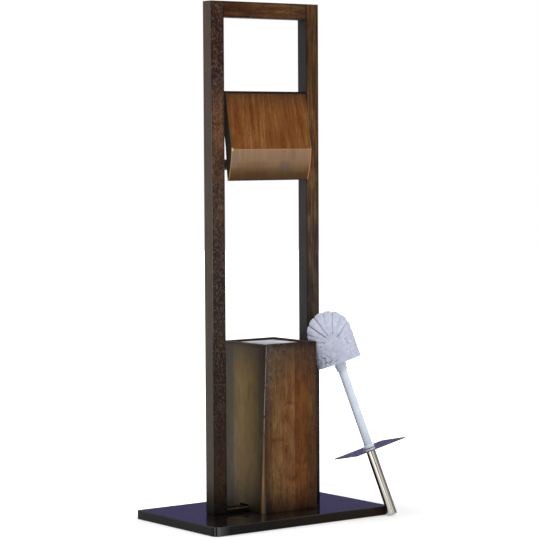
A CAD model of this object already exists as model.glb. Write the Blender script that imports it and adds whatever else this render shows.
# %% [markdown]
# # A toilet butler
# A tall wooden frame stands on a base board. It carries a hinged flap over a sprung paper roller, and a wooden
# box with a plastic liner for the toilet brush, which is shown taken out and leaned on the box.
# The stand's measured pieces are already packed as a CAD model. They are loaded first, and every new piece takes
# its size and its place from them, so nothing is fitted by eye. All lengths are in metres and +Z is up.

# %% Load the measured pieces
import math
import random

import bmesh
import bpy
from mathutils import Matrix, Vector


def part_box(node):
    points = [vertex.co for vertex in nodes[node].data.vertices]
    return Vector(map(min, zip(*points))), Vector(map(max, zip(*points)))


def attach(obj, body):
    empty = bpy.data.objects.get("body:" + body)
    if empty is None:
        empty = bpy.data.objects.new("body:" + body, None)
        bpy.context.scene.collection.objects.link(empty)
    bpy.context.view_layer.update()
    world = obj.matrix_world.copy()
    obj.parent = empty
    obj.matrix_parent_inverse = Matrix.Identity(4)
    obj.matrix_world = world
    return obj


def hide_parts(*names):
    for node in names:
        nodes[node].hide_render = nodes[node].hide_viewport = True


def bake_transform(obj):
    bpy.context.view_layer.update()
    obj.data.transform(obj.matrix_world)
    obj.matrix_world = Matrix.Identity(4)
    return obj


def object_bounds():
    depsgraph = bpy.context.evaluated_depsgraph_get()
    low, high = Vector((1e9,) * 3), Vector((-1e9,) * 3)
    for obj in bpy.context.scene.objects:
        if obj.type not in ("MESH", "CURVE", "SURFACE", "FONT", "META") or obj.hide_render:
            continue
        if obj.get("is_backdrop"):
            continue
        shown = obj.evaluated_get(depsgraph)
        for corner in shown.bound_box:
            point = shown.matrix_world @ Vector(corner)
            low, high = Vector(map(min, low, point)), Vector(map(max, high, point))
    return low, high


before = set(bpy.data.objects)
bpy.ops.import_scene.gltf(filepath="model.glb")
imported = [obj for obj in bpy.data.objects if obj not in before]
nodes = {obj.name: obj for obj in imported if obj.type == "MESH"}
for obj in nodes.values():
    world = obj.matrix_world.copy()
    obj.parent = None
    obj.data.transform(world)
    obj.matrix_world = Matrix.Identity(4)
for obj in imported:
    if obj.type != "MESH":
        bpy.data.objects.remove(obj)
cad_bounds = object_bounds()
print(f"{len(nodes)} measured pieces, {cad_bounds[1].z - cad_bounds[0].z:.3f} m tall in all")

# %% [markdown]
# ## Working on one piece at a time
# Blender's operators act on whatever is selected, and a new shape arrives selected all over. Each step therefore
# starts by selecting one piece only, and then the faces or edges that it needs, found by where they are or which
# way they face. These few helpers do that, so that the later cells read like the steps of modelling by hand.

# %% Helpers for selecting
def only(*pieces):
    """Selects these pieces and nothing else, and makes the first one active."""
    bpy.ops.object.select_all(action="DESELECT")
    for piece in pieces:
        piece.select_set(True)
    bpy.context.view_layer.objects.active = pieces[0]


def pick(piece, kind, test):
    """Opens a piece in edit mode with only the edges or faces selected that pass the test."""
    only(piece)
    bpy.ops.object.mode_set(mode="EDIT")
    bpy.ops.mesh.select_mode(type=kind)
    bpy.ops.mesh.select_all(action="DESELECT")
    shape = bmesh.from_edit_mesh(piece.data)
    for item in shape.edges if kind == "EDGE" else shape.faces:
        item.select_set(test(item))
    shape.select_flush_mode()
    bmesh.update_edit_mesh(piece.data)


def close():
    """Leaves edit mode."""
    bpy.ops.object.mode_set(mode="OBJECT")


def fresh(name, add, **settings):
    """A new primitive, with its size and its place kept in its mesh."""
    bpy.ops.object.select_all(action="DESELECT")
    add(**settings)
    piece = bpy.context.active_object
    piece.name = name
    bpy.ops.object.transform_apply(location=True, rotation=True, scale=True)
    return piece


def finish_with(piece, kind, **settings):
    """Adds a modifier with its settings and applies it."""
    only(piece)
    step = piece.modifiers.new(kind.lower(), kind)
    for name, value in settings.items():
        setattr(step, name, value)
    bpy.ops.object.modifier_apply(modifier=step.name)


# %% [markdown]
# ## Boards and bores
# Most of the stand is sawn wood. A board starts as a cube brought to its size, its arrises are rounded by a Bevel
# modifier that only takes sharp edges, and its holes are cut with a Boolean, as a drill would. A Boolean is exact
# where two solids cross, which suits holes for pins and screws that really hold the pieces together.

# %% Helpers for boards
CORNER_ANGLE = math.radians(35)
FLATNESS = 90
ROOM = 0.0003
OVERRUN = 0.001


def board(name, low, high):
    """A cube brought to the size and place between two corners."""
    low, high = Vector(low), Vector(high)
    return fresh(name, bpy.ops.mesh.primitive_cube_add, size=1, location=(low + high) / 2, scale=high - low)


def runs_upright(edge):
    """True for an edge that runs along Z."""
    first, last = edge.verts[0].co, edge.verts[1].co
    return abs(first.x - last.x) + abs(first.y - last.y) < abs(first.z - last.z)


def round_edges(piece, test, radius, steps):
    """Rounds the edges that pass the test."""
    pick(piece, "EDGE", test)
    bpy.ops.mesh.bevel(offset=radius, segments=steps, affect="EDGES")
    close()


def soften(piece, width, steps=3):
    """Rounds every sharp edge of a piece."""
    finish_with(piece, "BEVEL", width=width, segments=steps, limit_method="ANGLE", angle_limit=CORNER_ANGLE)


def smooth(piece):
    """Shades a piece smooth, apart from its real corners, with its large faces left flat."""
    only(piece)
    bpy.ops.object.shade_smooth_by_angle(angle=CORNER_ANGLE)
    finish_with(piece, "WEIGHTED_NORMAL", keep_sharp=True, weight=FLATNESS)


def slice_up(piece, axis, places):
    """Cuts a piece's faces all round at these places on an axis."""
    normal = Vector([float(name == axis) for name in "XYZ"])
    for spot in places:
        pick(piece, "FACE", lambda face: True)
        bpy.ops.mesh.bisect(plane_co=normal * spot, plane_no=normal)
        close()


def cut_with(piece, cutter, operation="DIFFERENCE"):
    """Cuts a piece with another one, which is then thrown away."""
    finish_with(piece, "BOOLEAN", operation=operation, solver="EXACT", object=cutter)
    bpy.data.objects.remove(cutter, do_unlink=True)


def bore(piece, axis, middle, radius, start, end, sides=32):
    """Drills a round hole along X or Z between two places on that axis."""
    halfway = (start + end) / 2
    spot, turn = ((halfway, *middle), math.pi / 2) if axis == "X" else ((*middle, halfway), 0)
    cut_with(piece, fresh("drill", bpy.ops.mesh.primitive_cylinder_add, vertices=sides, radius=radius,
                          depth=abs(end - start), location=spot, rotation=(0, turn, 0)))


def bore_for(piece, name):
    """Drills the hole in which a measured round piece sits. Screws and pads stand upright, the others lie."""
    low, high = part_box(name)
    middle = (low + high) / 2
    if name.endswith(("screw", "pad")):
        bore(piece, "Z", (middle.x, middle.y), (high.x - low.x) / 2 + ROOM, low.z - ROOM, high.z + ROOM)
    else:
        bore(piece, "X", (middle.y, middle.z), (high.z - low.z) / 2 + ROOM, low.x - ROOM, high.x + ROOM)


def between(rows, place):
    """Reads a table at a place between two of its rows, which each start with their own place."""
    low, high = next((pair for pair in zip(rows, rows[1:]) if place <= pair[1][0]), (rows[-1], rows[-1]))
    share = (place - low[0]) / (high[0] - low[0]) if high is not low else 0.0
    return [first + (second - first) * share for first, second in zip(low[1:], high[1:])]


# %% [markdown]
# ## Finishes in plain sums
# A finish is a small web of nodes. Drawn by hand it is quick to read, but in a script every node and link takes a
# line. Here one class wraps an output socket, so that a sum or a product of two of them adds the Math node. A
# second makes any other node from its type, its settings and what goes into it. A third holds a material, which is
# covered with a colour first, and then painted or shaded over by shares from 0 to 1.

# %% A value that can be reckoned with
class Value:
    """One output of a node. Sums, differences and products add Math nodes."""

    def __init__(self, web, socket):
        self.web, self.socket = web, socket

    def sum(self, operation, first, second):
        return self.web.node("ShaderNodeMath", {"operation": operation}, {0: first, 1: second})

    def __add__(self, other):
        return self.sum("ADD", self, other)

    def __sub__(self, other):
        return self.sum("SUBTRACT", self, other)

    def __rsub__(self, other):
        return self.sum("SUBTRACT", other, self)

    def __mul__(self, other):
        return self.sum("MULTIPLY", self, other)

    __radd__ = __add__
    __rmul__ = __mul__

    def __abs__(self):
        return self.sum("ABSOLUTE", self, 0.0)

    def stray(self, pattern, reach):
        """The same value, moved to and fro by a pattern."""
        return self + (pattern - 0.5) * reach

    def output(self, name):
        """Another output of the same node."""
        return Value(self.web, self.socket.node.outputs[name])


# %% A web of nodes
class Web:
    """A web of nodes."""

    def __init__(self, tree):
        self.tree = tree

    def node(self, kind, settings, inputs, output=0):
        """Any node: its type, then its settings, then the values or links of its sockets."""
        made = self.tree.nodes.new(kind)
        for name, value in settings.items():
            if name == "stops":
                self.fill_ramp(made.color_ramp, value)
            else:
                setattr(made, name, value)
        for name, value in inputs.items():
            self.join(made.inputs[name], value)
        return Value(self, made.outputs[output])

    def fill_ramp(self, ramp, stops):
        """Gives a ramp its stops, each with a place and a colour."""
        while len(ramp.elements) < len(stops):
            ramp.elements.new(1.0)
        for element, (position, colour) in zip(ramp.elements, stops):
            element.position = position
            element.color = (*colour, 1.0)

    def join(self, socket, value):
        """Links a value to a socket, or sets the socket where the value is a plain number or colour."""
        if isinstance(value, Value):
            self.tree.links.new(value.socket, socket)
        else:
            socket.default_value = (*value, 1.0) if socket.type == "RGBA" else value

    def seen_rays(self):
        """1 for rays from the camera, and for mirrored and transmitted ones."""
        path = self.node("ShaderNodeLightPath", {}, {}, "Is Camera Ray")
        return path.sum("MAXIMUM", path.sum("MAXIMUM", path, path.output("Is Glossy Ray")),
                        path.output("Is Transmission Ray"))


# %% A finish
class Finish(Web):
    """A material with one Principled shader, the nodes that feed it and the patterns that its coats follow."""

    def __init__(self, name, constants):
        self.material = bpy.data.materials.new(name)
        self.material.use_nodes = True
        super().__init__(self.material.node_tree)
        for socket, value in constants.items():
            self.feed(socket, value)
        self.place = self.node("ShaderNodeTexCoord", {}, {}, "Object")
        x = self.node("ShaderNodeSeparateXYZ", {}, {"Vector": self.place})
        self.at = x, x.output("Y"), x.output("Z")

    def feed(self, name, value):
        """Gives one of the shader's own sockets its value."""
        self.join(self.tree.nodes["Principled BSDF"].inputs[name], value)

    def noise(self, per_metre, detail=3.0, rough=0.55, twist=0.0, shift=0.0):
        """Soft random tone from 0 to 1, with so many waves to the metre along X, Y and Z."""
        return self.noise_on(self.node("ShaderNodeMapping", {}, {
            "Vector": self.place, "Scale": per_metre, "Location": (shift, shift, shift)}), 1.0, detail, rough, twist)

    def noise_on(self, spot, scale, detail, rough, twist=0.0):
        """Soft random tone over coordinates of its own."""
        return self.node("ShaderNodeTexNoise", {}, {
            "Vector": spot, "Scale": scale, "Detail": detail, "Roughness": rough, "Distortion": twist})

    def share(self, value, low, high):
        """How far the value has gone from low to high, from 0 to 1."""
        return self.node("ShaderNodeMapRange", {}, {"Value": value, "From Min": low, "From Max": high})

    def step(self, value, low, high):
        """Rises softly from 0 to 1 while the value goes from low to high."""
        return self.node("ShaderNodeMapRange", {"interpolation_type": "SMOOTHSTEP"},
                         {"Value": value, "From Min": low, "From Max": high})

    def fall(self, value, low, high):
        """Falls softly from 1 to 0 instead."""
        return 1 - self.step(value, low, high)

    def band(self, value, low, high, blur):
        """1 between low and high, and 0 outside them."""
        return self.step(value, low - blur, low + blur) * self.fall(value, high - blur, high + blur)

    def ramp(self, value, stops):
        """A colour picked by a value from a few stops."""
        return self.node("ShaderNodeValToRGB", {"stops": stops}, {"Fac": value})

    def tones(self, value, stops):
        """The same with colours as they are read off a screen."""
        return self.ramp(value, [(place, tone(*colour)) for place, colour in stops])

    def mix(self, share, first, second, how="MIX"):
        """One colour turned into another by a share from 0 to 1."""
        return self.node("ShaderNodeMix", {"data_type": "RGBA", "blend_type": how},
                         {0: share, 6: first, 7: second}, 2)

    def times(self, colour, share, darkest, lightest):
        """A colour made darker or lighter, by a share from 0 to 1."""
        return self.mix(1.0, colour, self.mix(share, grey(darkest), grey(lightest)), "MULTIPLY")

    def cover(self, colour):
        """Gives the surface a colour, which later coats go over."""
        self.colour = colour
        self.feed("Base Color", colour)

    def paint(self, share, colour):
        """A coat of a screen colour over what is there."""
        self.cover(self.mix(share, self.colour, tone(*colour)))

    def shade(self, share, darkest, lightest):
        """Makes what is there darker or lighter."""
        self.cover(self.times(self.colour, share, darkest, lightest))

    def bump(self, height, distance):
        """Feeds the shader a surface that rises and falls by the height."""
        self.feed("Normal", self.node("ShaderNodeBump", {}, {"Height": height, "Distance": distance}))


# %% Tones, and the simplest finish
CLOUD_LOW, CLOUD_HIGH = 0.3, 0.7  # nearly all of a soft random pattern lies between these


def tone(red, green, blue):
    """A colour as it is read off a screen, from 0 to 255, in the linear numbers that sockets take."""
    levels = [level / 255 for level in (red, green, blue)]
    return tuple(level / 12.92 if level <= 0.04045 else ((level + 0.055) / 1.055) ** 2.4 for level in levels)


def grey(level):
    """A colourless tone, for darkening or lightening by multiplication."""
    return level, level, level


def cloudy(name, constants, per_metre, tones, spread, least, detail=4.0, rough=0.6):
    """A finish whose tone and roughness both follow one soft random pattern, its cloud."""
    finish = Finish(name, constants)
    finish.cloud = finish.noise(per_metre, detail, rough)
    places = [CLOUD_LOW + (CLOUD_HIGH - CLOUD_LOW) * index / (len(tones) - 1) for index in range(len(tones))]
    finish.cover(finish.tones(finish.cloud, zip(places, tones)))
    finish.feed("Roughness", finish.cloud * spread + least)
    return finish


# %% Helpers for giving finishes
def settle(piece, finish, body, slot, *replaced):
    """Gives a piece its finish and its body, and names the measured pieces that it stands for."""
    piece.data.materials.clear()
    piece.data.materials.append(finish.material)
    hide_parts(*replaced)
    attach(piece, body)
    print(f"{piece.name}: {len(piece.data.polygons)} faces, stands for {', '.join(replaced)}")


def refinish(finish, *endings):
    """Gives measured pieces that keep their shape a better finish, found by how their names end."""
    kept = [name for name in nodes if name.endswith(endings)]
    for name in kept:
        for place in nodes[name].material_slots:
            place.material = finish.material
    print(f"{finish.material.name} on {len(kept)} measured pieces")


# %% [markdown]
# ## The dark stained frame
# The posts and rails are close-grained wood under a dark stain and a satin lacquer. The stain took unevenly: each
# piece has a few tones along its grain, the fronts are speckled, and the sides are smoother and greyer. So a ramp
# along the piece gives the tone, and fine grain, a coarser mottle and slow patches make it darker and lighter.
# Faces darken towards their edges, where the stain soaked in, and rub pale on the very arris.

# %% Stained wood of the frame
SATIN_WOOD = {"IOR": 1.5, "Specular IOR Level": 0.1}
GRAIN_CONTRAST = [
    (0.39, (0.40, 0.32, 0.26)), (0.46, (0.72, 0.66, 0.62)), (0.53, (1.12, 1.12, 1.12)), (0.62, (2.00, 2.15, 2.35))]
EDGE_SHADE = 0.0034
BURNT_FROM, BURNT_TO = 0.004, 0.080
WOOD_RELIEF = 0.00018
BLOTCHES = (0.40, 0.60)  # where the mottle turns from none to full


def frame_wood(name, axis, box, tones, side_tones, speckle, pale, shift):
    """Dark stained wood whose grain runs along an axis of the box that it fills."""
    wood = Finish(name, SATIN_WOOD)
    x, y, z = wood.at
    low, high = box
    along, start, end = (x, low.x, high.x) if axis == "X" else (z, low.z, high.z)
    across, near, far = (z, low.z, high.z) if axis == "X" else (x, low.x, high.x)

    def waves(across_grain, along_grain):
        return tuple(along_grain if letter == axis else across_grain for letter in "XYZ")

    grain = wood.noise(waves(330.0, 14.0), 3.0, 0.6, 0.2, shift)
    mottle = wood.mottle = wood.noise(waves(270.0, 150.0), 2.0, 0.7, 1.0, shift + 3.0)
    patches = wood.noise(waves(60.0, 30.0), 2.0, 0.5, 0.0, shift + 7.0)
    work = grain * (0.70 - speckle) + mottle * speckle + patches * 0.30
    share = wood.share(along, start, end).stray(patches, 0.10)
    front = wood.mix(1.0, wood.tones(share, tones), wood.ramp(work, GRAIN_CONTRAST), "MULTIPLY")
    rim = across.sum("MINIMUM", across - near, far - across)
    front = wood.times(front, wood.step(rim, 0.0004, EDGE_SHADE), 0.26, 1.08)
    side = wood.times(wood.tones(share, side_tones), wood.share(grain * 0.5 + patches * 0.5, 0.3, 0.7), 0.84, 1.14)
    depth = y.sum("MINIMUM", y - low.y, high.y - y)
    side = wood.times(side, wood.step(depth, 0.0, EDGE_SHADE), 0.62, 1.04)
    wood.cover(wood.mix(wood.step(rim, 0.0001, 0.0005), side, front))
    arris = wood.fall(rim + depth + mottle * 0.0006, 0.0006, 0.0010)
    wood.paint(arris * wood.band(share, *pale, 0.04) * 0.7, (124, 114, 104))
    wood.shade(wood.step(z.stray(mottle, 0.010), BURNT_FROM, BURNT_TO), 0.08, 1.0)
    wood.feed("Roughness", grain * 0.16 + 0.36 + wood.fall(z, BURNT_FROM, BURNT_TO) * 0.5)
    wood.bump(grain + mottle * 0.5, WOOD_RELIEF)
    return wood


# %% Wood of the left post
LEFT_TONES = [
    (0.00, (47, 32, 20)), (0.15, (40, 26, 16)), (0.30, (30, 17, 8)), (0.45, (36, 23, 16)), (0.58, (45, 29, 20)),
    (0.64, (62, 42, 30)), (0.73, (90, 60, 38)), (0.79, (78, 50, 30)), (0.86, (30, 10, 1)), (0.96, (40, 17, 4))]
LEFT_SIDE = [(0.00, (58, 48, 39)), (0.30, (63, 53, 45)), (0.60, (68, 57, 48)), (1.00, (66, 56, 47))]
RING_HEIGHTS = (0.0779, 0.2964, 0.4772)
KNOT_HEIGHTS = (0.630, 0.686, 0.756, 0.781)

left_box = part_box("left_post")
left_wood = frame_wood(
    "left post stained wood", "Z", left_box, LEFT_TONES, LEFT_SIDE, 0.52, (0.36, 0.80), 0.0)
(x, y, z), mottle = left_wood.at, left_wood.mottle
flecks = left_wood.noise((520.0, 520.0, 260.0), 3.0, 0.7, 0.0, 11.0)
flecks = left_wood.step(flecks, 0.50, 0.66) * left_wood.step(z, 0.02, 0.30)
on_front = left_wood.fall(y, left_box[0].y + 0.0002, left_box[0].y + 0.0006)
left_wood.paint(flecks * on_front * 0.50, (112, 97, 86))
for height in RING_HEIGHTS:
    ring = left_wood.band(z.stray(mottle, 0.002), height - 0.0006, height + 0.0006, 0.0006)
    left_wood.paint(ring * on_front * 0.55, (24, 12, 6))
for height in KNOT_HEIGHTS:
    knot = left_wood.band(z.stray(mottle, 0.012), height - 0.003, height + 0.003, 0.003)
    left_wood.paint(knot * on_front * left_wood.step(mottle, *BLOTCHES) * 0.7, (36, 14, 5))
print(f"left post's wood in {len(left_wood.tree.nodes)} nodes")

# %% Wood of the right post and the rails
RIGHT_TONES = [
    (0.00, (40, 29, 18)), (0.42, (52, 41, 31)), (0.56, (58, 45, 31)), (0.66, (77, 53, 29)), (0.75, (88, 57, 29)),
    (0.85, (67, 43, 16)), (1.00, (63, 40, 16))]
RIGHT_SIDE = [(0.00, (22, 20, 20)), (0.35, (38, 35, 34)), (0.70, (45, 41, 39)), (0.90, (31, 31, 31))]
TOP_RAIL_TONES = [(0.10, (54, 26, 4)), (0.35, (60, 34, 10)), (0.70, (70, 42, 15)), (0.95, (62, 39, 17))]
LOW_RAIL_TONES = [(0.0, (30, 20, 12)), (1.0, (24, 15, 8))]
NOT_PALE = (0.0, 0.02)
RAIL_KNOT_X, RAIL_KNOT_Z, RAIL_KNOT_RADIUS = -0.0300, 0.8020, 0.0030

right_wood = frame_wood(
    "right post stained wood", "Z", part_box("right_post"), RIGHT_TONES, RIGHT_SIDE, 0.14, (0.30, 0.32), 21.0)

top_rail_wood = frame_wood(
    "top rail stained wood", "X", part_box("top_rail"), TOP_RAIL_TONES, RIGHT_SIDE, 0.22, NOT_PALE, 40.0)
x, y, z = top_rail_wood.at
off_x, off_z = x - RAIL_KNOT_X, z - RAIL_KNOT_Z
from_knot = off_x * off_x + off_z * off_z * 2.5
top_rail_wood.paint(top_rail_wood.fall(from_knot, 0.0, RAIL_KNOT_RADIUS ** 2), (20, 16, 16))
chip = top_rail_wood.band(x, RAIL_KNOT_X + 0.0010, RAIL_KNOT_X + 0.0036, 0.0005)
top_rail_wood.paint(chip * top_rail_wood.fall(z, 0.7945, 0.7965) * 0.8, (170, 112, 62))

low_rail_wood = frame_wood(
    "bottom rail stained wood", "X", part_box("bottom_rail"), LOW_RAIL_TONES, LOW_RAIL_TONES, 0.22, NOT_PALE, 50.0)
x, y, z = low_rail_wood.at
low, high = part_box("bottom_rail")
rubbed = low_rail_wood.step(z - y, high.z - low.y - 0.0022, high.z - low.y - 0.0008)
low_rail_wood.paint(rubbed * low_rail_wood.step(low_rail_wood.mottle, 0.35, 0.60) * 0.7, (112, 78, 48))
print(f"top rail's wood in {len(top_rail_wood.tree.nodes)} nodes")

# %% [markdown]
# ## Posts and rails
# Each is a sawn board with its arrises taken off, cut to the box of the measured piece. The posts carry the
# flap's pins, the roller's tips, the dowels of the top rail and a screw from below, so those holes are bored from
# the same measured pieces, with a hair of room around each.

# %% Build the posts and rails
FRAME_ARRIS = 0.0005
FRAME_PIECES = {  # each with its wood and the round pieces that sit in it
    "left_post": (left_wood, "flap_left_pin", "lower_left_dowel", "upper_left_dowel", "left_post_screw"),
    "right_post": (right_wood, "flap_right_pin", "lower_right_dowel", "upper_right_dowel", "right_post_screw"),
    "top_rail": (top_rail_wood, "lower_left_dowel", "lower_right_dowel", "upper_left_dowel", "upper_right_dowel"),
    "bottom_rail": (low_rail_wood, "left_rail_screw", "right_rail_screw"),
}
for name, (wood, *held) in FRAME_PIECES.items():
    piece = board(f"{name}_dressed", *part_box(name))
    soften(piece, FRAME_ARRIS)
    for round_piece in held:
        bore_for(piece, round_piece)
    smooth(piece)
    settle(piece, wood, "root", "dark_wood", name)

# %% [markdown]
# ## The base board
# The base board is dark wood under a thick gloss lacquer, so its top mirrors the posts. Its corners are rounded
# to a finger's width. Bevelling the four upright edges first, and then every edge that is still sharp, gives
# the routed look of the real one. The four pads and the screw heads sink into its underside.

# %% Base board
FRONT_CORNER, BACK_CORNER = 0.0110, 0.0020
BASE_ARRIS = 0.0012

base_low, base_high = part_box("base_board")
base = board("base_board_dressed", base_low, base_high)
for radius, steps, side in ((FRONT_CORNER, 12, -1), (BACK_CORNER, 6, 1)):
    round_edges(base, lambda edge: runs_upright(edge) and edge.verts[0].co.y * side > 0, radius, steps)
soften(base, BASE_ARRIS)
for name in sorted(nodes):
    if name.endswith(("pad", "screw")):
        bore_for(base, name)
smooth(base)

lacquer = Finish("gloss dark lacquer", {"IOR": 1.5, "Specular IOR Level": 0.1, "Coat Roughness": 0.06})
streaks = lacquer.noise((9.0, 260.0, 60.0), 4.0, 0.6)
x, y, z = lacquer.at
on_top = lacquer.step(z, base_high.z - BASE_ARRIS, base_high.z - 0.0001)
lacquer.cover(lacquer.tones(lacquer.share(x, base_low.x, base_high.x), [
    (0.0, (20, 18, 17)), (0.25, (15, 11, 6)), (1.0, (32, 20, 6))]))
lacquer.shade(lacquer.noise((420.0, 420.0, 12.0), 3.0), 0.2, 1.4)
corner_x = x - base_low.x
near_front = lacquer.fall(y - base_low.y, 0.007, 0.010)
glint = lacquer.band(corner_x, 0.0016, 0.0026, 0.0002) + lacquer.band(corner_x, 0.0046, 0.0100, 0.0008)
glint = glint + lacquer.step(corner_x, 0.0090, 0.0110) * (0.5 - lacquer.step(corner_x, 0.011, 0.030) * 0.5)
lacquer.paint(near_front * glint * 0.28, (96, 102, 108))
lacquer.cover(lacquer.mix(on_top, lacquer.colour, lacquer.tones(streaks, [(0.3, (4, 2, 1)), (0.7, (10, 7, 4))])))
lacquer.feed("Roughness", streaks * 0.2 + 0.4)
lacquer.feed("Coat Weight", on_top + near_front * glint * 0.8 * (1 - on_top))
lacquer.bump(streaks, 0.00002)
settle(base, lacquer, "root", "black_lacquer", "base_board")

# %% [markdown]
# ## The flap
# The flap is one block of warm brown wood, routed to a soft nose: flat and leaning forward above, a crease, and a
# hollow-backed nose below that curves in again. A cube is cut across at many heights and its front and back are
# then pushed to the section's line. The nose shows the layers that the block is glued up from, so its finish has
# three level bands of staves, while the face above the crease has upright streaks.

# %% Shape of the flap
FLAP_THICKNESS = 0.0156
CREASE_DROP, CREASE_REACH = 0.0910, 0.0158
HEEL_DROP = 0.0880
LIP_DROP, LIP_REACH = 0.1280, 0.0026
TOE_REACH, TOE_THICKNESS = 0.0061, 0.0016
NOSE_BULGE = 0.0016
CREASE_RISE, CREASE_WAVES, CREASE_START = 0.0005, 47.0, 0.6
TOP_ROUND = 0.0026
FLAP_ARRIS = 0.0007
UPPER_CUTS, NOSE_CUTS, UPRIGHT_CUTS = 6, 14, 16
flap_low, flap_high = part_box("flap_board")
FLAP_HEIGHT = flap_high.z - flap_low.z
FLAP_FRONT = left_box[0].y
FRONT_LINE = [  # drops below the flap's top, then depths
    (0.0, FLAP_FRONT), (CREASE_DROP, FLAP_FRONT - CREASE_REACH), (FLAP_HEIGHT, FLAP_FRONT - TOE_REACH)]
BACK_LINE = [
    (0.0, FLAP_FRONT + FLAP_THICKNESS),
    (HEEL_DROP, FLAP_FRONT - CREASE_REACH * HEEL_DROP / CREASE_DROP + FLAP_THICKNESS),
    (LIP_DROP, FLAP_FRONT - LIP_REACH), (FLAP_HEIGHT, FLAP_FRONT - TOE_REACH + TOE_THICKNESS)]

flap = board("flap_dressed", flap_low, flap_high)
cuts = [HEEL_DROP * index / UPPER_CUTS for index in range(1, UPPER_CUTS + 1)] + [CREASE_DROP]
cuts += [CREASE_DROP + (FLAP_HEIGHT - CREASE_DROP) * index / NOSE_CUTS for index in range(1, NOSE_CUTS)]
slice_up(flap, "Z", [flap_high.z - drop for drop in cuts])
slice_up(flap, "X", [
    flap_low.x + (flap_high.x - flap_low.x) * index / UPRIGHT_CUTS for index in range(1, UPRIGHT_CUTS)])
flap_middle = (flap_low.y + flap_high.y) / 2
for point in flap.data.vertices:
    drop = flap_high.z - point.co.z
    if point.co.y < flap_middle:
        share = max(drop - CREASE_DROP, 0.0) / (FLAP_HEIGHT - CREASE_DROP)
        point.co.y = between(FRONT_LINE, drop)[0] - 4 * NOSE_BULGE * share * (1 - share)
    else:
        point.co.y = between(BACK_LINE, drop)[0]
    if abs(drop - CREASE_DROP) < ROOM:
        point.co.z += CREASE_RISE * math.sin(point.co.x * CREASE_WAVES + CREASE_START)
round_edges(flap, lambda edge: all(point.co.z > flap_high.z - ROOM for point in edge.verts)
            and abs(edge.verts[0].co.x - edge.verts[1].co.x) > ROOM, TOP_ROUND, 5)
soften(flap, FLAP_ARRIS, 2)
for side in ("left", "right"):
    bore_for(flap, f"flap_{side}_pin")
smooth(flap)
print(f"flap cut at {len(cuts)} heights")

# %% Face of the flap
wood = Finish("warm brown wood", SATIN_WOOD)
x, y, z = wood.at
fan = wood.node("ShaderNodeCombineXYZ", {}, {
    "X": x * (1 + (z - 0.60) * 1.2), "Y": y * 0.2, "Z": z * 0.035})
streaks = wood.noise_on(fan, 120.0, 5.0, 0.72, 0.15)
fine = wood.noise_on(fan, 800.0, 3.0, 0.5)
patches = wood.noise((40.0, 40.0, 22.0), 2.0)
speckle = wood.noise((330.0, 330.0, 150.0), 2.0, 0.7)
wood.cover(wood.tones(streaks * 0.48 + fine * 0.22 + patches * 0.16 + speckle * 0.14, [
    (0.40, (84, 36, 3)), (0.47, (100, 54, 10)), (0.53, (112, 67, 24)), (0.61, (134, 93, 52))]))
height = wood.share(z, flap_low.z, flap_high.z)
wood.cover(wood.mix(1.0, wood.colour, wood.ramp(height, [
    (0.40, grey(1.00)), (0.74, grey(0.97)), (0.90, (0.68, 0.66, 0.60)), (0.975, (0.44, 0.42, 0.38))]), "MULTIPLY"))
rim = flap_high.x - abs(x)
wood.shade(wood.step(rim, 0.001, 0.009), 0.82, 1.02)
wood.paint(wood.step(z.stray(streaks, 0.0010), flap_high.z - 0.0042, flap_high.z - 0.0034), (7, 4, 3))
face = wood.colour
print(f"the flap's face in {len(wood.tree.nodes)} nodes")

# %% Nose of the flap
NOSE_SHARE = 0.75
NOSE_PATCHES = [  # the ends of x and of the drop below the crease, then the tone and its share
    (-0.0760, -0.0660, 0.000, 0.030, (104, 103, 94), 0.50), (-0.0640, -0.0600, 0.000, 0.020, (150, 126, 92), 0.40),
    (-0.0110, -0.0070, 0.000, 0.030, (140, 114, 80), 0.35), (0.0330, 0.0480, 0.000, 0.019, (112, 84, 60), 0.45),
    (-0.0480, -0.0060, 0.019, 0.030, (96, 70, 50), 0.40), (0.0186, 0.0387, 0.019, 0.034, (84, 72, 72), 0.60),
    (0.0420, 0.0700, 0.019, 0.036, (124, 92, 68), 0.35), (-0.0478, -0.0056, 0.035, 0.052, (58, 38, 18), 0.55)]

crease = flap_high.z - CREASE_DROP
wood.cover(wood.tones(height.stray(patches, 0.03), [
    (0.00, (60, 38, 14)), (0.06, (73, 49, 19)), (0.12, (92, 66, 40)), (0.17, (116, 89, 62)), (0.24, (127, 100, 74)),
    (0.36, (136, 108, 82))]))
for left, end, top, bottom, patch, share in NOSE_PATCHES:
    where = wood.band(x, left, end, 0.0014) * wood.band(z, crease - bottom, crease - top, 0.0018)
    wood.paint(where * (share * NOSE_SHARE), patch)
wood.shade(wood.share(streaks * 0.5 + fine * 0.5, 0.35, 0.65), 0.84, 1.14)
wood.paint(wood.fall(abs(z - crease + 0.0195), 0.0003, 0.0009) * 0.35, (140, 112, 80))
wood.paint(wood.fall(z - flap_low.z, 0.0004, 0.0022), (24, 16, 10))
print(f"{len(NOSE_PATCHES)} staves in the flap's nose")

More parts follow.
